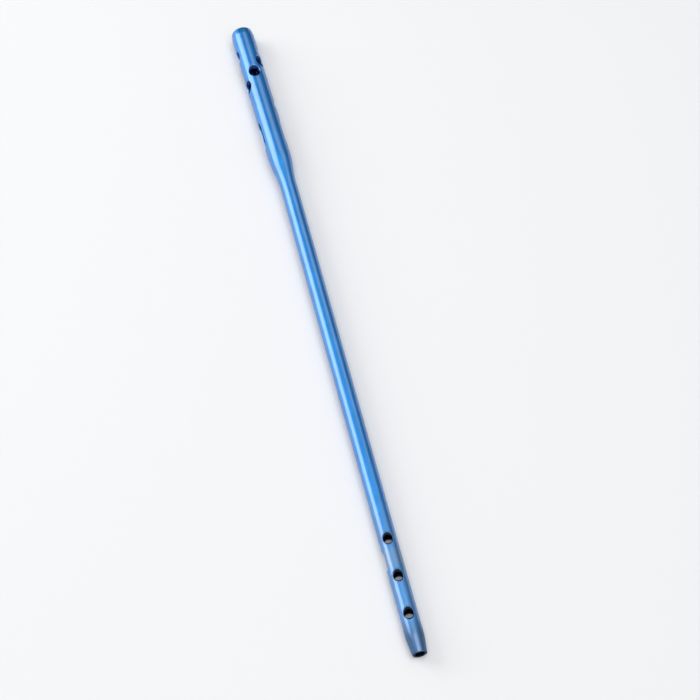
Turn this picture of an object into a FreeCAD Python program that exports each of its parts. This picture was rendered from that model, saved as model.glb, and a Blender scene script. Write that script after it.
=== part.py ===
import FreeCAD, Part
import math
import os

# Cannulated intramedullary nail, turned and drilled from one titanium bar.
# Millimetres. The origin is the centre of the flat proximal face and +X runs down the
# wide proximal part. +Z is up from the table that the nail lies on, touching it along
# the wide part and at the distal shoulder, with its slight bend lying flat.

# Overall form
nail_length = 340.0
proximal_diameter = 11.0
shaft_diameter = 8.0
bend_deg = 1.2
bend_from_proximal = 100.0
bend_arc_length = 6.0

# Proximal end and the neck down to the shaft
proximal_face_diameter = 10.0
proximal_lead_length = 3.6
proximal_edge_round = 0.6
lead_blend_radius = 4.0
neck_start = 82.5
neck_end = 92.5
neck_blend_radius = 50.0

# Distal tip
tip_length = 8.0
tip_diameter = 6.3
tip_blend_radius = 30.0
tip_edge_round = 0.3

# Bores along the nail
cannulation_diameter = 4.4
tip_mouth_diameter = 4.8
socket_thread_diameter = 7.0
socket_thread_depth = 9.5
socket_mouth_diameter = 7.8
socket_mouth_depth = 1.2
socket_floor_half_angle = 59.0

# Locating notch in the rim of the proximal face
rim_notch_width = 3.2
rim_notch_length = 3.0
rim_notch_depth = 0.7

# Proximal locking holes: places from the proximal face, turns about the nail from +Z to +Y
proximal_hole_diameter = 4.5
proximal_countersink_diameter = 7.6
first_proximal_hole = 15.0
proximal_hole_pitch = 6.8
proximal_hole_turns = {
    "transverse": 90.0,
    "right_oblique": 57.0,
    "upright": 0.0,
    "left_oblique": -71.0,
}

# Dynamic locking slot, across the nail
slot_centre = 65.4
slot_length = 14.0
slot_countersink_width = 6.5
slot_turn = 90.0

# Distal locking holes: places from the distal face
distal_hole_diameter = 4.3
distal_countersink_diameter = 6.3
distal_hole_count = 3
first_distal_hole = 17.5
distal_hole_pitch = 17.5
distal_hole_turn = -5.0

# Locating recesses, milled into one side only
recess_depth = 0.75
recess_cutter_diameter = 5.5
distal_recess_length = 10.5
distal_recess_turn = -95.0
proximal_recess_centre = 48.6
proximal_recess_length = 6.0
proximal_recess_turn = 90.0

# Run-out past a surface, for every cutter, and the turn of a drilled wall's seam from the nail's line
overrun = 2.0
seam_turn = 45.0

V = FreeCAD.Vector
ORIGIN = V(0, 0, 0)
PROXIMAL_AXIS = V(1, 0, 0)
UP = V(0, 0, 1)

proximal_radius = proximal_diameter / 2
shaft_radius = shaft_diameter / 2
cannulation_radius = cannulation_diameter / 2
bend = math.radians(bend_deg)
shaft_reach = nail_length - bend_from_proximal


def resting_dip():
    """Angle by which the shaft runs down, so that its distal shoulder meets the table."""
    to_shoulder = shaft_reach - tip_length
    slant = math.hypot(to_shoulder, shaft_radius)
    return math.asin(proximal_radius / slant) - math.atan(shaft_radius / to_shoulder)


def bent_axis():
    """Direction of the shaft: down by the resting dip, and sideways by the rest of the bend."""
    down = math.sin(resting_dip())
    sideways = math.sqrt(max(math.sin(bend) ** 2 - down ** 2, 0.0))
    return V(math.cos(bend), -sideways, -down).normalize()


SHAFT_AXIS = bent_axis()
BEND_POINT = PROXIMAL_AXIS * bend_from_proximal
DISTAL_CENTRE = BEND_POINT + SHAFT_AXIS * shaft_reach

# The bend is one arc, tangent to both straight stretches
bend_radius = bend_arc_length / bend
bend_tangent = bend_radius * math.tan(bend / 2)
ARC_START = BEND_POINT - PROXIMAL_AXIS * bend_tangent
ARC_END = BEND_POINT + SHAFT_AXIS * bend_tangent


def arc_middle():
    """Middle point of the bend's arc."""
    inward = (SHAFT_AXIS - PROXIMAL_AXIS).normalize()
    return BEND_POINT + inward * (bend_radius / math.cos(bend / 2) - bend_radius)


def rounded_outline(corners):
    """Closed wire through (x, z, round) corners in the XZ plane, an arc where round is over 0."""
    edges = []
    count = len(corners)
    trimmed = []
    for i, (x, z, radius) in enumerate(corners):
        here = V(x, 0, z)
        before = V(corners[i - 1][0], 0, corners[i - 1][1])
        after = V(corners[(i + 1) % count][0], 0, corners[(i + 1) % count][1])
        if radius == 0:
            trimmed.append((here, None, here))
            continue
        back = (before - here).normalize()
        ahead = (after - here).normalize()
        half = back.getAngle(ahead) / 2
        reach = radius / math.tan(half)
        bisector = (back + ahead).normalize()
        middle = here + bisector * (radius / math.sin(half) - radius)
        trimmed.append((here + back * reach, middle, here + ahead * reach))
    for i, (start, middle, end) in enumerate(trimmed):
        if middle is not None:
            edges.append(Part.Arc(start, middle, end).toShape())
        following = trimmed[(i + 1) % count][0]
        edges.append(Part.LineSegment(end, following).toShape())
    return Part.Wire(edges)


def turned(corners):
    """Solid of revolution about +X of an outline of (x, radius, round) corners."""
    return Part.Face(rounded_outline(corners)).revolve(ORIGIN, PROXIMAL_AXIS, 360)


def onto_shaft(solid):
    """A solid made about +X, moved to start where the bend ends and to run along the shaft."""
    moved = solid.copy()
    along_shaft = FreeCAD.Rotation(PROXIMAL_AXIS, SHAFT_AXIS)
    moved.Placement = FreeCAD.Placement(ARC_END, along_shaft).multiply(moved.Placement)
    return moved


def piped(radius, path):
    """Round bar of a radius along a wire that starts along +X."""
    start = path.Vertexes[0].Point
    ring = Part.Wire(Part.Circle(start, PROXIMAL_AXIS, radius).toShape())
    return path.makePipeShell([ring], True, False)


def outer_form():
    """The nail before drilling: wide part and neck, the bend, then shaft and tip."""
    face_radius = proximal_face_diameter / 2
    wide_part = turned([
        (0, 0, 0),
        (0, face_radius, proximal_edge_round),
        (proximal_lead_length, proximal_radius, lead_blend_radius),
        (neck_start, proximal_radius, neck_blend_radius),
        (neck_end, shaft_radius, neck_blend_radius),
        (ARC_START.x, shaft_radius, 0),
        (ARC_START.x, 0, 0),
    ])
    bend_arc = Part.Wire(Part.Arc(ARC_START, arc_middle(), ARC_END).toShape())
    bend_piece = piped(shaft_radius, bend_arc)
    straight = shaft_reach - bend_tangent
    shaft = turned([
        (0, 0, 0),
        (0, shaft_radius, 0),
        (straight - tip_length, shaft_radius, tip_blend_radius),
        (straight, tip_diameter / 2, tip_edge_round),
        (straight, 0, 0),
    ])
    return wide_part.fuse([bend_piece, onto_shaft(shaft)]).removeSplitter()


def cannulation():
    """Guide wire bore, from end to end round the bend, opened out to a cone at the tip."""
    lead_in = Part.LineSegment(PROXIMAL_AXIS * -overrun, ARC_START).toShape()
    arc = Part.Arc(ARC_START, arc_middle(), ARC_END).toShape()
    lead_out = Part.LineSegment(ARC_END, DISTAL_CENTRE + SHAFT_AXIS * overrun).toShape()
    bore = piped(cannulation_radius, Part.Wire([lead_in, arc, lead_out]))
    mouth_radius = tip_mouth_diameter / 2
    depth = mouth_radius - cannulation_radius
    cone_start = DISTAL_CENTRE - SHAFT_AXIS * depth
    flare = mouth_radius + overrun
    mouth = Part.makeCone(cannulation_radius, flare, depth + overrun, cone_start, SHAFT_AXIS)
    return bore.fuse(mouth)


def proximal_socket():
    """Threaded socket for the insertion handle and end cap, with plain mouth and drilled floor."""
    thread_radius = socket_thread_diameter / 2
    mouth_radius = socket_mouth_diameter / 2
    floor_slope = math.tan(math.radians(socket_floor_half_angle))
    floor = (thread_radius - cannulation_radius) / floor_slope
    return turned([
        (-overrun, 0, 0),
        (-overrun, mouth_radius, 0),
        (socket_mouth_depth, mouth_radius, 0),
        (socket_mouth_depth + mouth_radius - thread_radius, thread_radius, 0),
        (socket_thread_depth, thread_radius, 0),
        (socket_thread_depth + floor, cannulation_radius, 0),
        (socket_thread_depth + floor, 0, 0),
    ])


def place_across(solid, centre, along, turn_deg):
    """A cutter made about +Z at the origin, set at a point of the nail and turned about its axis."""
    side = UP.cross(along).normalize()
    top = along.cross(side)
    turn = math.radians(turn_deg)
    outward = top * math.cos(turn) + side * math.sin(turn)
    frame = FreeCAD.Matrix()
    sideways = outward.cross(along)
    frame.A11, frame.A21, frame.A31 = along.x, along.y, along.z
    frame.A12, frame.A22, frame.A32 = sideways.x, sideways.y, sideways.z
    frame.A13, frame.A23, frame.A33 = outward.x, outward.y, outward.z
    frame.A14, frame.A24, frame.A34 = centre.x, centre.y, centre.z
    moved = solid.copy()
    moved.Placement = FreeCAD.Placement(frame).multiply(moved.Placement)
    return moved


def drilled_mouths(bore_radius, inner, outer, place):
    """Both halves of a hole across the nail, each from the nail's axis out through its countersink."""
    flare = bore_radius + outer - inner
    bore = Part.makeCylinder(bore_radius, outer)
    sink = Part.makeCone(bore_radius, flare, outer - inner, UP * inner)
    upper = bore.fuse(sink).rotated(ORIGIN, UP, seam_turn)
    lower = upper.rotated(ORIGIN, PROXIMAL_AXIS, 180)
    return [upper.translated(place), lower.translated(place)]


def screw_cutter(bore_diameter, countersink_diameter, wall_radius, length=0.0):
    """Bore across the nail with a 90 degree countersink at each mouth; a length makes it a slot."""
    bore_radius = bore_diameter / 2
    inner = wall_radius - (countersink_diameter - bore_diameter) / 2
    outer = wall_radius + overrun
    if not length:
        halves = drilled_mouths(bore_radius, inner, outer, ORIGIN)
        return halves[0].fuse(halves[1])
    travel = length - bore_diameter
    half = travel / 2
    flare = bore_radius + outer - inner
    pieces = drilled_mouths(bore_radius, inner, outer, V(-half, 0, 0))
    pieces += drilled_mouths(bore_radius, inner, outer, V(half, 0, 0))
    corner = V(-half, -bore_radius, -outer)
    pieces.append(Part.makeBox(travel, bore_diameter, 2 * outer, corner))
    for way in (1, -1):
        section = [
            V(-half, -bore_radius, way * inner),
            V(-half, -flare, way * outer),
            V(-half, flare, way * outer),
            V(-half, bore_radius, way * inner),
        ]
        outline = Part.makePolygon(section + section[:1])
        pieces.append(Part.Face(outline).extrude(V(travel, 0, 0)))
    return pieces[0].fuse(pieces[1:])


def recess_cutter(wall_radius, length):
    """Side mill run along the nail: flat floor at the recess depth, and round ramps at both ends."""
    cutter_radius = recess_cutter_diameter / 2
    ramp = math.sqrt(cutter_radius ** 2 - (cutter_radius - recess_depth) ** 2)
    travel = length - 2 * ramp
    floor = wall_radius - recess_depth
    half_travel = travel / 2
    half_width = wall_radius + overrun
    ends = []
    for x in (-half_travel, half_travel):
        side = V(x, -half_width, floor + cutter_radius)
        ends.append(Part.makeCylinder(cutter_radius, 2 * half_width, side, V(0, 1, 0)))
    corner = V(-half_travel, -half_width, floor)
    between = Part.makeBox(travel, 2 * half_width, recess_cutter_diameter, corner)
    return between.fuse(ends)


def rim_notch_cutter():
    """Square-sided notch in the top of the proximal rim, open to the proximal face."""
    corner = V(-overrun, -rim_notch_width / 2, proximal_radius - rim_notch_depth)
    size = (rim_notch_length + overrun, rim_notch_width, rim_notch_depth + overrun)
    return Part.makeBox(*size, corner)


def across_wide_part(solid, place, turn_deg):
    """A cutter set across the wide part, by its distance from the proximal face."""
    return place_across(solid, PROXIMAL_AXIS * place, PROXIMAL_AXIS, turn_deg)


def across_shaft(solid, place, turn_deg):
    """A cutter set across the shaft, by its distance from the distal face."""
    return place_across(solid, DISTAL_CENTRE - SHAFT_AXIS * place, SHAFT_AXIS, turn_deg)


def proximal_cutters():
    """Locking holes, slot and recess of the wide part."""
    hole = screw_cutter(proximal_hole_diameter, proximal_countersink_diameter, proximal_radius)
    slot = screw_cutter(proximal_hole_diameter, slot_countersink_width, proximal_radius, slot_length)
    recess = recess_cutter(proximal_radius, proximal_recess_length)
    cutters = [
        across_wide_part(slot, slot_centre, slot_turn),
        across_wide_part(recess, proximal_recess_centre, proximal_recess_turn),
    ]
    for i, turn in enumerate(proximal_hole_turns.values()):
        cutters.append(across_wide_part(hole, first_proximal_hole + i * proximal_hole_pitch, turn))
    return cutters


def distal_cutters():
    """Locking holes of the shaft, and a recess midway between the two furthest from the tip."""
    hole = screw_cutter(distal_hole_diameter, distal_countersink_diameter, shaft_radius)
    recess = recess_cutter(shaft_radius, distal_recess_length)
    places = [first_distal_hole + i * distal_hole_pitch for i in range(distal_hole_count)]
    cutters = [across_shaft(hole, place, distal_hole_turn) for place in places]
    recess_place = (places[-1] + places[-2]) / 2
    cutters.append(across_shaft(recess, recess_place, distal_recess_turn))
    return cutters


def nail_body():
    """The whole nail as one solid."""
    cutters = [cannulation(), proximal_socket(), rim_notch_cutter()]
    cutters += proximal_cutters()
    cutters += distal_cutters()
    return outer_form().cut(cutters)


os.makedirs("parts", exist_ok=True)
nail = nail_body()
if not nail.isValid() or len(nail.Solids) != 1:
    raise ValueError("the nail did not come out as one valid solid")
nail.Solids[0].exportStep("parts/nail_body.step")
print("nail_body", round(nail.Volume, 1), "mm3", nail.BoundBox)
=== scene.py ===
import math
import bpy
from mathutils import Matrix, Vector


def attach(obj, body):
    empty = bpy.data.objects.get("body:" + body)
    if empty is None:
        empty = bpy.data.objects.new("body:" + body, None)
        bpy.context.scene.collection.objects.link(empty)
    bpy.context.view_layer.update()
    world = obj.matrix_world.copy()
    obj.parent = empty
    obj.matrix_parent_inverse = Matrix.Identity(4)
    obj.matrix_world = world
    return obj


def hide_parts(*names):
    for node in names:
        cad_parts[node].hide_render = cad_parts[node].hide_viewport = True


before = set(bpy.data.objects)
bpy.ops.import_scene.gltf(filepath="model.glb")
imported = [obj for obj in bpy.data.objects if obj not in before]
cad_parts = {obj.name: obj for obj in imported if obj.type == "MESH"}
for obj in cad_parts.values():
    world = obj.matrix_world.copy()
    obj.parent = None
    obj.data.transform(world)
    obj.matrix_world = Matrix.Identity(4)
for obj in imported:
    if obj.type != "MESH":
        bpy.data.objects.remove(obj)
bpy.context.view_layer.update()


# The turned bar.
# A titanium bar is turned to a wide proximal part, a neck, a slim shaft and a conical tip,
# then bent slightly below the neck. It lies with its wide part along +X and its bend flat.
MM = 0.001
X_AXIS = Vector((1, 0, 0))

nail_length = 340 * MM
proximal_radius = 5.5 * MM
proximal_face_radius = 5 * MM
shaft_radius = 4 * MM
bend_angle = math.radians(1.2)
bend_place = 100 * MM
bend_arc_length = 6 * MM
tip_length = 8 * MM
tip_radius = 3.15 * MM
lead_in_length = 3.6 * MM
neck_start = 82.5 * MM
neck_end = 92.5 * MM
rim_round = 0.6 * MM
lead_in_round = 4 * MM
neck_round = 50 * MM
tip_shoulder_round = 30 * MM
tip_round = 0.3 * MM
straight_step = 4 * MM
arc_step = math.radians(6)

bend_radius = bend_arc_length / bend_angle
bend_tangent = bend_radius * math.tan(bend_angle / 2)
shaft_reach = nail_length - bend_place
to_shoulder = shaft_reach - tip_length
table_slope = math.asin(proximal_radius / math.hypot(to_shoulder, shaft_radius))
resting_dip = table_slope - math.atan(shaft_radius / to_shoulder)
down = math.sin(resting_dip)
sideways = math.sqrt(math.sin(bend_angle) ** 2 - down ** 2)
SHAFT_AXIS = Vector((math.cos(bend_angle), -sideways, -down)).normalized()
BEND_POINT = X_AXIS * bend_place
DISTAL_CENTRE = BEND_POINT + SHAFT_AXIS * shaft_reach
bend_side = (SHAFT_AXIS - X_AXIS * SHAFT_AXIS.x).normalized()
arc_start = bend_place - bend_tangent
arc_end = arc_start + bend_arc_length


def on_axis(reach):
    """Point on the nail's bent axis, at a reach measured along it from the proximal face."""
    if reach <= arc_start:
        return X_AXIS * reach
    if reach >= arc_end:
        return BEND_POINT + SHAFT_AXIS * (bend_tangent + reach - arc_end)
    turn = (reach - arc_start) / bend_radius
    across = bend_side * bend_radius * (1 - math.cos(turn))
    return X_AXIS * (arc_start + bend_radius * math.sin(turn)) + across


def stations(corners):
    """(reach, radius) pairs along an outline of (reach, radius, round) corners.

    The first and last corners lie on the axis and only close the outline.
    """
    line = []
    for before, corner, after in zip(corners, corners[1:], corners[2:]):
        here = Vector(corner[:2])
        back = (Vector(before[:2]) - here).normalized()
        ahead = (Vector(after[:2]) - here).normalized()
        if corner[2] == 0:
            line.append(here)
            continue
        half = back.angle(ahead) / 2
        centre = here + (back + ahead).normalized() * (corner[2] / math.sin(half))
        trim = corner[2] / math.tan(half)
        start = here + back * trim - centre
        sweep = start.angle_signed(here + ahead * trim - centre)
        steps = max(2, math.ceil(abs(sweep) / arc_step))
        for i in range(steps + 1):
            line.append(centre + Matrix.Rotation(-sweep * i / steps, 2) @ start)
    divided = line[:1]
    for start, end in zip(line, line[1:]):
        pieces = max(1, math.ceil((end.x - start.x) / straight_step))
        divided += [start.lerp(end, i / pieces) for i in range(1, pieces + 1)]
    return divided


bar_outline = stations([
    (0, 0, 0),
    (0, proximal_face_radius, rim_round),
    (lead_in_length, proximal_radius, lead_in_round),
    (neck_start, proximal_radius, neck_round),
    (neck_end, shaft_radius, neck_round),
    (nail_length - tip_length, shaft_radius, tip_shoulder_round),
    (nail_length, tip_radius, tip_round),
    (nail_length, 0, 0),
])


# The bores along the nail.
# A cannulation for the guide wire is drilled from end to end. The tip is opened to a cone,
# and the proximal end is counterbored and tapped for the insertion handle.
overrun = 2 * MM
cannulation_radius = 2.2 * MM
tip_mouth_radius = 2.4 * MM
thread_radius = 3.5 * MM
thread_end = 9.5 * MM
socket_mouth_radius = 3.9 * MM
socket_mouth_depth = 1.2 * MM
drill_point_half_angle = math.radians(59)
cutter_overlap = 0.3 * MM
inside_the_bore = cannulation_radius - cutter_overlap

cannulation_outline = stations([
    (-overrun, 0, 0),
    (-overrun, cannulation_radius, 0),
    (nail_length + overrun, cannulation_radius, 0),
    (nail_length + overrun, 0, 0),
])
socket_floor = thread_end + (thread_radius - inside_the_bore) / math.tan(drill_point_half_angle)
socket_outline = stations([
    (-overrun, 0, 0),
    (-overrun, socket_mouth_radius, 0),
    (socket_mouth_depth, socket_mouth_radius, 0),
    (socket_mouth_depth + socket_mouth_radius - thread_radius, thread_radius, 0),
    (thread_end, thread_radius, 0),
    (socket_floor, inside_the_bore, 0),
    (socket_floor, 0, 0),
])
tip_cone_start = nail_length - tip_mouth_radius + inside_the_bore
tip_mouth_outline = stations([
    (tip_cone_start, 0, 0),
    (tip_cone_start, inside_the_bore, 0),
    (nail_length + overrun, tip_mouth_radius + overrun, 0),
    (nail_length + overrun, 0, 0),
])


def outline_mesh(name, outlines):
    """One chain of edges along the nail's axis for each outline, with its radius at every point."""
    points, edges, radii, order = [], [], [], []
    for number, outline in enumerate(outlines):
        first = len(points)
        points += [on_axis(station.x) for station in outline]
        radii += [station.y for station in outline]
        order += [number] * len(outline)
        edges += [(i, i + 1) for i in range(first, len(points) - 1)]
    mesh = bpy.data.meshes.new(name)
    mesh.from_pydata(points, edges, [])
    mesh.attributes.new("turned_radius", "FLOAT", "POINT").data.foreach_set("value", radii)
    mesh.attributes.new("outline_number", "INT", "POINT").data.foreach_set("value", order)
    return mesh


nail = bpy.data.objects.new(
    "nail",
    outline_mesh("nail", [bar_outline, cannulation_outline, socket_outline, tip_mouth_outline]),
)
bpy.context.scene.collection.objects.link(nail)


# The holes across the nail.
# Locking holes with countersunk mouths, a slot for a sliding screw, shallow locating recesses
# and a notch in the rim are cut into the turned bar, each set off from one of its end faces.
nail_sizes = {
    "Bar Facets": 144,
    "Cutter Facets": 72,
    "Shaft Axis": SHAFT_AXIS,
    "Distal Face": DISTAL_CENTRE,
    "Overrun": overrun,
    "Proximal Radius": proximal_radius,
    "Proximal Hole Radius": 2.25 * MM,
    "Proximal Countersink": 1.55 * MM,
    "First Proximal Hole": 15 * MM,
    "Proximal Pitch": 6.8 * MM,
    "Transverse Turn": math.radians(90),
    "Right Oblique Turn": math.radians(57),
    "Upright Turn": 0.0,
    "Left Oblique Turn": math.radians(-71),
    "Slot Centre": 65.4 * MM,
    "Slot Half Travel": 4.75 * MM,
    "Slot Countersink": 1.0 * MM,
    "Shaft Radius": shaft_radius,
    "Distal Hole Radius": 2.15 * MM,
    "Distal Countersink": 1.0 * MM,
    "Distal Hole Count": 3,
    "First Distal Hole": 17.5 * MM,
    "Distal Pitch": 17.5 * MM,
    "Distal Turn": math.radians(-5),
    "Recess Depth": 0.75 * MM,
    "Recess Cutter Radius": 2.75 * MM,
    "Distal Recess Place": 43.75 * MM,
    "Distal Recess Length": 10.5 * MM,
    "Distal Recess Turn": math.radians(-95),
    "Proximal Recess Place": 48.6 * MM,
    "Proximal Recess Length": 6 * MM,
    "Rim Notch Size": Vector((3, 3.2, 0.7)) * MM,
    "Socket Bore Radius": thread_radius,
    "Thread Start": 1.95 * MM,
    "Thread Pitch": 0.75 * MM,
    "Thread Turns": 9.5,
    "Thread Facets": 60,
    "Thread Ridge Size": 0.34 * MM,
    "Thread Embedding": 0.08 * MM,
}
SOCKET_KINDS = {int: "NodeSocketInt", float: "NodeSocketFloat", Vector: "NodeSocketVector"}


def new_tree(name, sizes, takes_geometry):
    """A Geometry Nodes tree with a named input for each size, and its input and output nodes."""
    tree = bpy.data.node_groups.new(name, "GeometryNodeTree")
    tree.interface.new_socket("Geometry", in_out="OUTPUT", socket_type="NodeSocketGeometry")
    if takes_geometry:
        tree.interface.new_socket("Geometry", in_out="INPUT", socket_type="NodeSocketGeometry")
    for label, value in sizes.items():
        tree.interface.new_socket(label, in_out="INPUT", socket_type=SOCKET_KINDS[type(value)])
    inside = tree.nodes.new("NodeGroupInput").outputs
    return tree, inside, tree.nodes.new("NodeGroupOutput").inputs


def add_node(tree, kind, sockets=None, **settings):
    """A node with its settings, and its sockets linked or set by name or number."""
    made = tree.nodes.new(kind)
    for setting, value in settings.items():
        setattr(made, setting, value)
    for key, value in (sockets or {}).items():
        for item in value if isinstance(value, list) else [value]:
            if isinstance(item, bpy.types.NodeSocket):
                tree.links.new(item, made.inputs[key])
            else:
                made.inputs[key].default_value = item
    return made


def maths(tree, operation, *values):
    """Result of one Math node on sockets or numbers."""
    sockets = dict(enumerate(values))
    return add_node(tree, "ShaderNodeMath", sockets, operation=operation).outputs[0]


def vector_of(tree, x=0.0, y=0.0, z=0.0):
    """Result of one Combine XYZ node on sockets or numbers."""
    return add_node(tree, "ShaderNodeCombineXYZ", {0: x, 1: y, 2: z}).outputs[0]


def scaled(tree, vector, factor):
    """A vector socket times a number socket."""
    sockets = {0: vector, "Scale": factor}
    return add_node(tree, "ShaderNodeVectorMath", sockets, operation="SCALE").outputs[0]


cutter_sizes = {
    "Facets": 72,
    "Waist Radius": 1.0,
    "End Radius": 1.0,
    "Waist Reach": 1.0,
    "End Reach": 1.0,
    "Half Travel": 0.0,
}
cutter_tree, given, result = new_tree("waisted cutter", cutter_sizes, False)
drum = add_node(
    cutter_tree, "GeometryNodeMeshCylinder",
    {"Vertices": given["Facets"], "Side Segments": 3, "Radius": 1.0, "Depth": 2.0},
)
half_facet = maths(cutter_tree, "DIVIDE", math.pi, given["Facets"])
turned_drum = add_node(
    cutter_tree, "GeometryNodeTransform",
    {"Geometry": drum.outputs["Mesh"], "Rotation": vector_of(cutter_tree, z=half_facet)},
)
place = add_node(
    cutter_tree, "ShaderNodeSeparateXYZ",
    {0: add_node(cutter_tree, "GeometryNodeInputPosition").outputs[0]},
).outputs
at_end = maths(cutter_tree, "GREATER_THAN", maths(cutter_tree, "ABSOLUTE", place["Z"]), 0.5)


def by_ring(waist, end):
    """One value at the waist's two rings and another at the end rings."""
    return add_node(cutter_tree, "ShaderNodeMix", {0: at_end, 2: waist, 3: end}).outputs[0]


ring_radius = by_ring(given["Waist Radius"], given["End Radius"])
ring_reach = by_ring(given["Waist Reach"], given["End Reach"])
which_end = maths(cutter_tree, "SIGN", place["X"])
shift = maths(cutter_tree, "MULTIPLY", which_end, given["Half Travel"])
moved = add_node(cutter_tree, "GeometryNodeSetPosition", {
    "Geometry": turned_drum.outputs[0],
    "Position": vector_of(
        cutter_tree,
        maths(cutter_tree, "MULTIPLY_ADD", place["X"], ring_radius, shift),
        maths(cutter_tree, "MULTIPLY", place["Y"], ring_radius),
        maths(cutter_tree, "MULTIPLY", maths(cutter_tree, "SIGN", place["Z"]), ring_reach),
    ),
})
cutter_tree.links.new(moved.outputs[0], result[0])

row_sizes = {
    "Count": 1,
    "Start": Vector(),
    "Step": Vector(),
    "Along": X_AXIS,
    "Turn": 0.0,
}
row_tree, given, result = new_tree("row across the nail", row_sizes, True)
row_points = add_node(
    row_tree, "GeometryNodeMeshLine",
    {"Count": given["Count"], "Start Location": given["Start"], "Offset": given["Step"]},
    mode="OFFSET",
)
upright = add_node(
    row_tree, "FunctionNodeAxesToRotation",
    {0: given["Along"], 1: (0, 0, 1)},
    primary_axis="X", secondary_axis="Z",
)
back_turn = add_node(
    row_tree, "FunctionNodeAxisAngleToRotation",
    {"Axis": (1, 0, 0), "Angle": maths(row_tree, "MULTIPLY", given["Turn"], -1)},
)
turned_frame = add_node(
    row_tree, "FunctionNodeRotateRotation",
    {0: upright.outputs[0], 1: back_turn.outputs[0]},
    rotation_space="LOCAL",
)
row = add_node(row_tree, "GeometryNodeInstanceOnPoints", {
    "Points": row_points.outputs[0],
    "Instance": given["Geometry"],
    "Rotation": turned_frame.outputs[0],
})
row_tree.links.new(row.outputs[0], result[0])

nail_tree, size, result = new_tree("turned and drilled nail", nail_sizes, True)


def swept(number, facets):
    """The outline of one number, turned into a closed round solid along the nail's axis."""
    picked = add_node(
        nail_tree, "GeometryNodeInputNamedAttribute", {0: "outline_number"}, data_type="INT")
    chosen = add_node(nail_tree, "FunctionNodeCompare", {2: picked.outputs[0], 3: number},
                      data_type="INT", operation="EQUAL")
    chain = add_node(nail_tree, "GeometryNodeSeparateGeometry",
                     {"Geometry": size["Geometry"], "Selection": chosen.outputs[0]},
                     domain="POINT")
    curve = add_node(nail_tree, "GeometryNodeMeshToCurve", {"Mesh": chain.outputs[0]})
    ring = add_node(
        nail_tree, "GeometryNodeCurvePrimitiveCircle", {"Resolution": facets, "Radius": 1.0})
    radius = add_node(
        nail_tree, "GeometryNodeInputNamedAttribute", {0: "turned_radius"}, data_type="FLOAT")
    return add_node(nail_tree, "GeometryNodeCurveToMesh", {
        "Curve": curve.outputs[0],
        "Profile Curve": ring.outputs[0],
        "Scale": radius.outputs[0],
        "Fill Caps": True,
    }).outputs[0]


def waisted_cutter(waist_radius, end_radius, waist_reach, end_reach, half_travel=0.0):
    """A hole or slot cutter about +Z."""
    return add_node(nail_tree, "GeometryNodeGroup", {
        "Facets": size["Cutter Facets"],
        "Waist Radius": waist_radius,
        "End Radius": end_radius,
        "Waist Reach": waist_reach,
        "End Reach": end_reach,
        "Half Travel": half_travel,
    }, node_tree=cutter_tree).outputs[0]


def screw_cutter(hole_radius, countersink, wall_radius, half_travel=0.0):
    """Cutter of a hole or slot with 90 degree countersinks that start below the wall's surface."""
    flare = maths(nail_tree, "ADD", countersink, size["Overrun"])
    return waisted_cutter(
        hole_radius,
        maths(nail_tree, "ADD", hole_radius, flare),
        maths(nail_tree, "SUBTRACT", wall_radius, countersink),
        maths(nail_tree, "ADD", wall_radius, size["Overrun"]),
        half_travel,
    )


def recess_cutter(wall_radius, length):
    """Side mill lying across the nail, with its lowest line at the recess depth."""
    radius = size["Recess Cutter Radius"]
    rise = maths(nail_tree, "SUBTRACT", radius, size["Recess Depth"])
    radius_squared = maths(nail_tree, "POWER", radius, 2)
    rise_squared = maths(nail_tree, "POWER", rise, 2)
    run_out = maths(nail_tree, "SQRT", maths(nail_tree, "SUBTRACT", radius_squared, rise_squared))
    half_travel = maths(nail_tree, "SUBTRACT", maths(nail_tree, "DIVIDE", length, 2), run_out)
    reach = maths(nail_tree, "ADD", wall_radius, size["Overrun"])
    roller = waisted_cutter(radius, radius, maths(nail_tree, "DIVIDE", reach, 3), reach, half_travel)
    return add_node(nail_tree, "GeometryNodeTransform", {
        "Geometry": roller,
        "Translation": vector_of(nail_tree, z=maths(nail_tree, "ADD", wall_radius, rise)),
        "Rotation": (math.radians(90), 0, 0),
    }).outputs[0]


def in_row(cutter, start, step, along, turn, count=1):
    """Copies of a cutter set across the nail."""
    return add_node(nail_tree, "GeometryNodeGroup", {
        "Geometry": cutter,
        "Count": count,
        "Start": start,
        "Step": step,
        "Along": along,
        "Turn": turn,
    }, node_tree=row_tree).outputs[0]


def on_shaft(place):
    """Point on the shaft's axis, by its distance from the distal face."""
    back = scaled(nail_tree, size["Shaft Axis"], maths(nail_tree, "MULTIPLY", place, -1))
    return add_node(nail_tree, "ShaderNodeVectorMath", {0: size["Distal Face"], 1: back}).outputs[0]


hole_number = add_node(nail_tree, "GeometryNodeInputIndex").outputs[0]
turn_switch = add_node(nail_tree, "GeometryNodeIndexSwitch", data_type="FLOAT")
proximal_turns = ["Transverse Turn", "Right Oblique Turn", "Upright Turn", "Left Oblique Turn"]
while len(turn_switch.index_switch_items) < len(proximal_turns):
    turn_switch.index_switch_items.new()
nail_tree.links.new(hole_number, turn_switch.inputs["Index"])
for number, name in enumerate(proximal_turns):
    nail_tree.links.new(size[name], turn_switch.inputs[number + 1])

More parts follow.
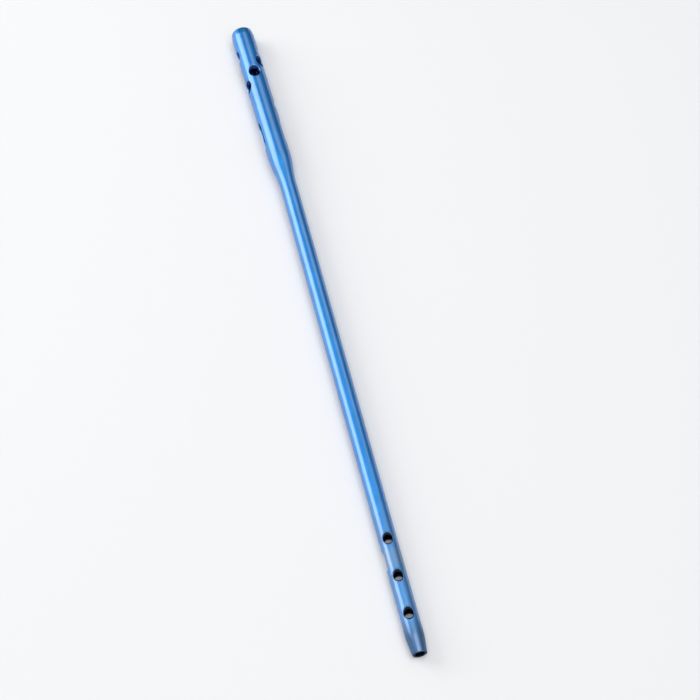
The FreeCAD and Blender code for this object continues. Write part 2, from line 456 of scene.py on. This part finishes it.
proximal_holes = in_row(
    screw_cutter(size["Proximal Hole Radius"], size["Proximal Countersink"], size["Proximal Radius"]),
    vector_of(nail_tree, size["First Proximal Hole"]),
    vector_of(nail_tree, size["Proximal Pitch"]),
    X_AXIS,
    turn_switch.outputs[0],
    len(proximal_turns),
)
slot = in_row(
    screw_cutter(size["Proximal Hole Radius"], size["Slot Countersink"], size["Proximal Radius"],
                 size["Slot Half Travel"]),
    vector_of(nail_tree, size["Slot Centre"]), Vector(), X_AXIS, size["Transverse Turn"],
)
proximal_recess = in_row(
    recess_cutter(size["Proximal Radius"], size["Proximal Recess Length"]),
    vector_of(nail_tree, size["Proximal Recess Place"]), Vector(), X_AXIS, size["Transverse Turn"],
)
distal_holes = in_row(
    screw_cutter(size["Distal Hole Radius"], size["Distal Countersink"], size["Shaft Radius"]),
    on_shaft(size["First Distal Hole"]),
    scaled(nail_tree, size["Shaft Axis"], maths(nail_tree, "MULTIPLY", size["Distal Pitch"], -1)),
    size["Shaft Axis"],
    size["Distal Turn"],
    size["Distal Hole Count"],
)
distal_recess = in_row(
    recess_cutter(size["Shaft Radius"], size["Distal Recess Length"]),
    on_shaft(size["Distal Recess Place"]), Vector(), size["Shaft Axis"], size["Distal Recess Turn"],
)
notch_room = vector_of(nail_tree, size["Overrun"], 0.0, size["Overrun"])
notch_size = add_node(
    nail_tree, "ShaderNodeVectorMath", {0: size["Rim Notch Size"], 1: notch_room}).outputs[0]
notch_sides = add_node(nail_tree, "ShaderNodeSeparateXYZ", {0: size["Rim Notch Size"]}).outputs
notch_centre = vector_of(
    nail_tree,
    maths(nail_tree, "DIVIDE", maths(nail_tree, "SUBTRACT", notch_sides["X"], size["Overrun"]), 2),
    0.0,
    maths(nail_tree, "ADD", size["Proximal Radius"],
          maths(nail_tree, "DIVIDE", maths(nail_tree, "SUBTRACT", size["Overrun"], notch_sides["Z"]), 2)),
)
notch_block = add_node(nail_tree, "GeometryNodeMeshCube", {"Size": notch_size}).outputs[0]
notch = add_node(
    nail_tree, "GeometryNodeTransform", {"Geometry": notch_block, "Translation": notch_centre})

cutters = [swept(number, size["Cutter Facets"]) for number in (1, 2, 3)]
cutters += [proximal_holes, slot, proximal_recess, distal_holes, distal_recess, notch.outputs[0]]
bored = add_node(
    nail_tree, "GeometryNodeMeshBoolean", {0: swept(0, size["Bar Facets"]), 1: cutters},
    operation="DIFFERENCE", solver="MANIFOLD")


# The thread in the socket.
# A fine right-hand thread is tapped in the socket for the insertion handle. It is the nail's
# own metal, a ridge with its crest inwards that winds along the socket's wall.
ridge_radius = maths(
    nail_tree, "SUBTRACT",
    maths(nail_tree, "ADD", size["Socket Bore Radius"], size["Thread Embedding"]),
    maths(nail_tree, "DIVIDE", size["Thread Ridge Size"], 2),
)
thread_path = add_node(nail_tree, "GeometryNodeCurveSpiral", {
    "Resolution": size["Thread Facets"],
    "Rotations": size["Thread Turns"],
    "Start Radius": ridge_radius,
    "End Radius": ridge_radius,
    "Height": maths(nail_tree, "MULTIPLY", size["Thread Pitch"], size["Thread Turns"]),
    "Reverse": True,
})
upright_path = add_node(
    nail_tree, "GeometryNodeSetCurveNormal", {0: thread_path.outputs[0]}, mode="Z_UP")
triangle = add_node(
    nail_tree, "GeometryNodeCurvePrimitiveCircle",
    {"Resolution": 3, "Radius": size["Thread Ridge Size"]},
)
ridge_section = add_node(nail_tree, "GeometryNodeTransform", {
    "Geometry": triangle.outputs[0],
    "Rotation": (0, 0, math.radians(180)),
})
ridge = add_node(nail_tree, "GeometryNodeCurveToMesh", {
    "Curve": upright_path.outputs[0],
    "Profile Curve": ridge_section.outputs[0],
    "Fill Caps": True,
})
thread = add_node(nail_tree, "GeometryNodeTransform", {
    "Geometry": ridge.outputs[0],
    "Translation": vector_of(nail_tree, size["Thread Start"]),
    "Rotation": (0, math.radians(90), 0),
})
tapped = add_node(
    nail_tree, "GeometryNodeMeshBoolean", {1: [bored.outputs[0], thread.outputs[0]]},
    operation="UNION", solver="MANIFOLD")
whole = add_node(nail_tree, "GeometryNodeRealizeInstances", {0: tapped.outputs[0]})
smooth = add_node(nail_tree, "GeometryNodeSetShadeSmooth", {"Geometry": whole.outputs[0]})


# The finish.
# The nail is anodised blue all over: a clear oxide over satin turned titanium. Drilled and milled
# surfaces are smoother, and their colour, with that of the end faces, is darkened as painted shade, more
# so towards the tip. The rims of the hole mouths are painted paler as a painted highlight, and the tip is
# a greyer blue.
darker_oxide = (0.012, 0.25, 0.67, 1)
lighter_oxide = (0.018, 0.29, 0.77, 1)
greyer_oxide = (0.16, 0.29, 0.47, 1)
tip_oxide = (0.065, 0.15, 0.3, 1)
notch_oxide = (0.02, 0.22, 0.48, 1)
# Painted shade: hole walls, bores and end faces are darkened, more so towards the tip.
proximal_painted_shade = (0.001, 0.03, 0.16, 1)
distal_painted_shade = (0.006, 0.025, 0.08, 1)
# Painted highlight: the rims of the hole mouths are painted paler.
rim_highlight_colour = (0.35, 0.6, 0.95, 1)
glancing_oxide = (0.02, 0.09, 0.16, 1)
cut_depth = (0.3 * MM, 0.4 * MM)
edge_depth = (0.15 * MM, 0.2 * MM)
face_depth = (0.1 * MM, 0.03 * MM)
recess_allowance = 0.5 * MM
notch_end = (3.3 * MM, 3.1 * MM)
notch_floor_height = (4.6 * MM, 4.7 * MM)
notch_half_width = (1.62 * MM, 1.6 * MM)
proximal_recess_span = (45.2 * MM, 52 * MM, 0.2 * MM)
distal_recess_span = (290.7 * MM, 301.8 * MM, 0.2 * MM)
grey_patch_span = (290 * MM, 303 * MM, 3 * MM)
grey_patch_amount = 0.7
distal_greying = (265 * MM, 290 * MM, 0.0, 0.35)
tip_greying = (325 * MM, 332 * MM, 0.0, 0.85)
# Stretch over which the painted shade on cut surfaces deepens towards the tip.
painted_shade_deepening = (200 * MM, 280 * MM)
rim_highlight_amount = 0.6
cloud_frequency = 120.0
cloud_contrast = (0.35, 0.65)
turning_frequency = 9000.0
turning_height = 0.008 * MM

anodised = bpy.data.materials.new("anodised_titanium")
anodised.use_nodes = True
finish = anodised.node_tree
shader = finish.nodes["Principled BSDF"]


def vector_maths(operation, first, second=(0, 0, 0), output="Vector"):
    """Result of one Vector Math node of the finish."""
    sockets = {0: first, 1: second}
    return add_node(finish, "ShaderNodeVectorMath", sockets, operation=operation).outputs[output]


def product(first, second):
    """Two numbers multiplied."""
    return maths(finish, "MULTIPLY", first, second)


def difference(first, second):
    """The second number taken from the first."""
    return maths(finish, "SUBTRACT", first, second)


def larger(first, second):
    """The larger of two numbers."""
    return maths(finish, "MAXIMUM", first, second)


def ramp(value, start, end, low=0.0, high=1.0):
    """A value carried evenly from low at the start to high at the end, and level outside them."""
    return add_node(finish, "ShaderNodeMapRange", {
        "Value": value, "From Min": start, "From Max": end, "To Min": low, "To Max": high,
    }).outputs[0]


def between(start, end, fade):
    """1 along a stretch of the nail, and 0 past its ends."""
    return product(ramp(reach, start, start + fade), ramp(reach, end, end - fade))


def blended(factor, first, second):
    """Two numbers mixed."""
    return add_node(finish, "ShaderNodeMix", {0: factor, 2: first, 3: second}).outputs[0]


def painted(factor, under, over):
    """One colour laid over another."""
    sockets = {0: factor, 6: under, 7: over}
    return add_node(finish, "ShaderNodeMix", sockets, data_type="RGBA").outputs[2]


spot = add_node(finish, "ShaderNodeTexCoord").outputs["Object"]
spot_sides = add_node(finish, "ShaderNodeSeparateXYZ", {0: spot}).outputs
from_bend = vector_maths("SUBTRACT", spot, BEND_POINT)
past_bend = maths(finish, "GREATER_THAN", spot_sides["X"], bend_place)
along_shaft = vector_maths("DOT_PRODUCT", from_bend, SHAFT_AXIS, "Value")
across_shaft = vector_maths("CROSS_PRODUCT", from_bend, SHAFT_AXIS)
across_wide_part = vector_of(finish, 0.0, spot_sides["Y"], spot_sides["Z"])
reach = blended(past_bend, spot_sides["X"], maths(finish, "ADD", along_shaft, bend_place))
off_axis = blended(
    past_bend,
    vector_maths("LENGTH", across_wide_part, output="Value"),
    vector_maths("LENGTH", across_shaft, output="Value"),
)

lead_radius = ramp(reach, 0.0, lead_in_length, proximal_face_radius, proximal_radius)
neck_drop = ramp(reach, neck_start, neck_end, 0.0, proximal_radius - shaft_radius)
tip_drop = ramp(reach, nail_length - tip_length, nail_length, 0.0, shaft_radius - tip_radius)
depth = difference(difference(difference(lead_radius, neck_drop), tip_drop), off_axis)

in_notch = ramp(reach, *notch_end)
in_recess = larger(in_notch, larger(between(*proximal_recess_span), between(*distal_recess_span)))
allowance = blended(in_recess, 0.0, recess_allowance)
on_faces = larger(
    ramp(reach, *face_depth),
    ramp(reach, nail_length - face_depth[0], nail_length - face_depth[1]),
)
# Cut surfaces and the end faces; below, their colour is darkened as painted shade.
cut_and_painted_shade = larger(ramp(difference(depth, allowance), *cut_depth), on_faces)
# Rims of the hole mouths, which get a painted highlight.
painted_rim_highlight = product(difference(ramp(depth, *edge_depth), cut_and_painted_shade), difference(1.0, in_recess))
notch_floor = product(in_notch, product(
    ramp(spot_sides["Z"], *notch_floor_height),
    ramp(maths(finish, "ABSOLUTE", spot_sides["Y"]), *notch_half_width),
))
near_tip = ramp(reach, *tip_greying)
towards_tip = ramp(reach, *painted_shade_deepening)
greyed = larger(product(between(*grey_patch_span), grey_patch_amount), ramp(reach, *distal_greying))

clouds = add_node(
    finish, "ShaderNodeTexNoise", {"Vector": spot, "Scale": cloud_frequency, "Detail": 4.0})
colour = painted(ramp(clouds.outputs[0], *cloud_contrast), darker_oxide, lighter_oxide)
colour = painted(greyed, colour, greyer_oxide)
colour = painted(near_tip, colour, tip_oxide)
colour = painted(notch_floor, colour, notch_oxide)
# Painted shade on cut surfaces and end faces, deeper towards the tip.
painted_shade_colour = painted(towards_tip, proximal_painted_shade, distal_painted_shade)
colour = painted(cut_and_painted_shade, colour, painted_shade_colour)
# Painted highlight on the rims of the hole mouths.
colour = painted(product(painted_rim_highlight, rim_highlight_amount), colour, rim_highlight_colour)
turning_marks = add_node(
    finish, "ShaderNodeTexNoise", {"W": reach, "Scale": turning_frequency, "Detail": 2.0},
    noise_dimensions="1D")
relief = add_node(finish, "ShaderNodeBump", {
    "Height": turning_marks.outputs[0],
    "Strength": 0.3,
    "Distance": turning_height,
})
tip_coat = ramp(reach, tip_greying[0], tip_greying[1], 0.9, 0.45)
outer_coat = blended(notch_floor, tip_coat, 0.3)
cut_coat = blended(towards_tip, 0.2, 0.3)
finish.links.new(colour, shader.inputs["Base Color"])
finish.links.new(relief.outputs[0], shader.inputs["Normal"])
finish.links.new(blended(cut_and_painted_shade, 0.55, 0.35), shader.inputs["Roughness"])
finish.links.new(blended(cut_and_painted_shade, outer_coat, cut_coat), shader.inputs["Coat Weight"])
shader.inputs["Metallic"].default_value = 1
shader.inputs["Specular Tint"].default_value = glancing_oxide
shader.inputs["Coat Roughness"].default_value = 0.2
shader.inputs["Coat IOR"].default_value = 2.0

finished = add_node(nail_tree, "GeometryNodeSetMaterial", {"Geometry": smooth.outputs[0]})
finished.inputs["Material"].default_value = anodised
nail_tree.links.new(finished.outputs[0], result[0])

machining = nail.modifiers.new("machining", "NODES")
machining.node_group = nail_tree
for item in nail_tree.interface.items_tree:
    if item.in_out == "INPUT" and item.name in nail_sizes:
        machining[item.identifier] = nail_sizes[item.name]
evaluated_nail = nail.evaluated_get(bpy.context.evaluated_depsgraph_get())
machined = bpy.data.meshes.new_from_object(evaluated_nail)
nail.modifiers.remove(machining)
nail.data = machined
crease_angle = math.radians(28)
machined.set_sharp_from_angle(angle=crease_angle)

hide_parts("nail_body")
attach(nail, "root")


# The table, the light and the camera.
# The nail lies on a plain white table under soft boxes on its left, behind it and overhead on
# the camera's side, in a dim room. The camera stands past the tip and looks down at the nail.
table_height = -proximal_radius
table_half = 2.5
table_white = (0.755, 0.76, 0.77, 1)
table = bpy.data.objects.new("table", bpy.data.meshes.new("table"))
table_corners = [(-table_half, -table_half), (table_half, -table_half),
                 (table_half, table_half), (-table_half, table_half)]
table.data.from_pydata([(x, y, table_height) for x, y in table_corners], [], [(0, 1, 2, 3)])
bpy.context.scene.collection.objects.link(table)
table_finish = bpy.data.materials.new("table")
table_finish.use_nodes = True
table_shader = table_finish.node_tree.nodes["Principled BSDF"]
table_shader.inputs["Base Color"].default_value = table_white
table_shader.inputs["Roughness"].default_value = 0.9
table_shader.inputs["Specular IOR Level"].default_value = 0.0
table.data.materials.append(table_finish)

middle_of_nail = Vector((0.17, 0, 0))


def soft_box(name, place, width, height, watts):
    """A large rectangular lamp that faces the middle of the nail."""
    light = bpy.data.lights.new(name, "AREA")
    light.shape = "RECTANGLE"
    light.size = width
    light.size_y = height
    light.energy = watts
    lamp = bpy.data.objects.new(name, light)
    lamp.location = place
    lamp.rotation_euler = (middle_of_nail - Vector(place)).to_track_quat("-Z", "Y").to_euler()
    bpy.context.scene.collection.objects.link(lamp)


soft_box("left_soft_box", (-0.66, -1.1, 0.7), width=1.18, height=1.14, watts=14.5)
soft_box("rear_soft_box", (-0.739, 0.557, 1.073), width=1.06, height=0.47, watts=1.78)
soft_box("overhead_soft_box", (0.577, 0.05, 1.9), width=1.8, height=1.8, watts=33)

toward_bright_wall = (0.75, 0.25, 0.612)
dim_wall = 0.016
bright_wall = 0.36
room = bpy.data.worlds.new("room")
room.use_nodes = True
room_nodes = room.node_tree
background = room_nodes.nodes["Background"]
direction = add_node(room_nodes, "ShaderNodeTexCoord").outputs["Generated"]
facing = add_node(
    room_nodes, "ShaderNodeVectorMath", {0: direction, 1: toward_bright_wall},
    operation="DOT_PRODUCT")
room_light = add_node(room_nodes, "ShaderNodeMapRange", {
    "Value": facing.outputs["Value"],
    "From Min": -0.3,
    "From Max": 0.6,
    "To Min": dim_wall,
    "To Max": bright_wall,
}, interpolation_type="SMOOTHSTEP")
room_nodes.links.new(room_light.outputs[0], background.inputs["Strength"])
background.inputs["Color"].default_value = (1, 1, 1, 1)
bpy.context.scene.world = room

camera_place = Vector((633.45, -112.4, 747.55)) * MM
camera_right = Vector((0.25662, 0.96651, 0))
camera_elevation = math.radians(58.58)
toward_camera = Vector((
    camera_right.y * math.cos(camera_elevation),
    -camera_right.x * math.cos(camera_elevation),
    math.sin(camera_elevation),
))
camera_up = toward_camera.cross(camera_right)
camera = bpy.data.objects.new("camera", bpy.data.cameras.new("camera"))
camera.matrix_world = Matrix.Translation(camera_place) @ Matrix(
    (camera_right, camera_up, toward_camera)).transposed().to_4x4()
camera.data.sensor_width = 36
camera.data.lens = 100.47
camera.data.clip_end = 20
bpy.context.scene.collection.objects.link(camera)
bpy.context.scene.camera = camera
bpy.context.scene.view_settings.view_transform = "Standard"
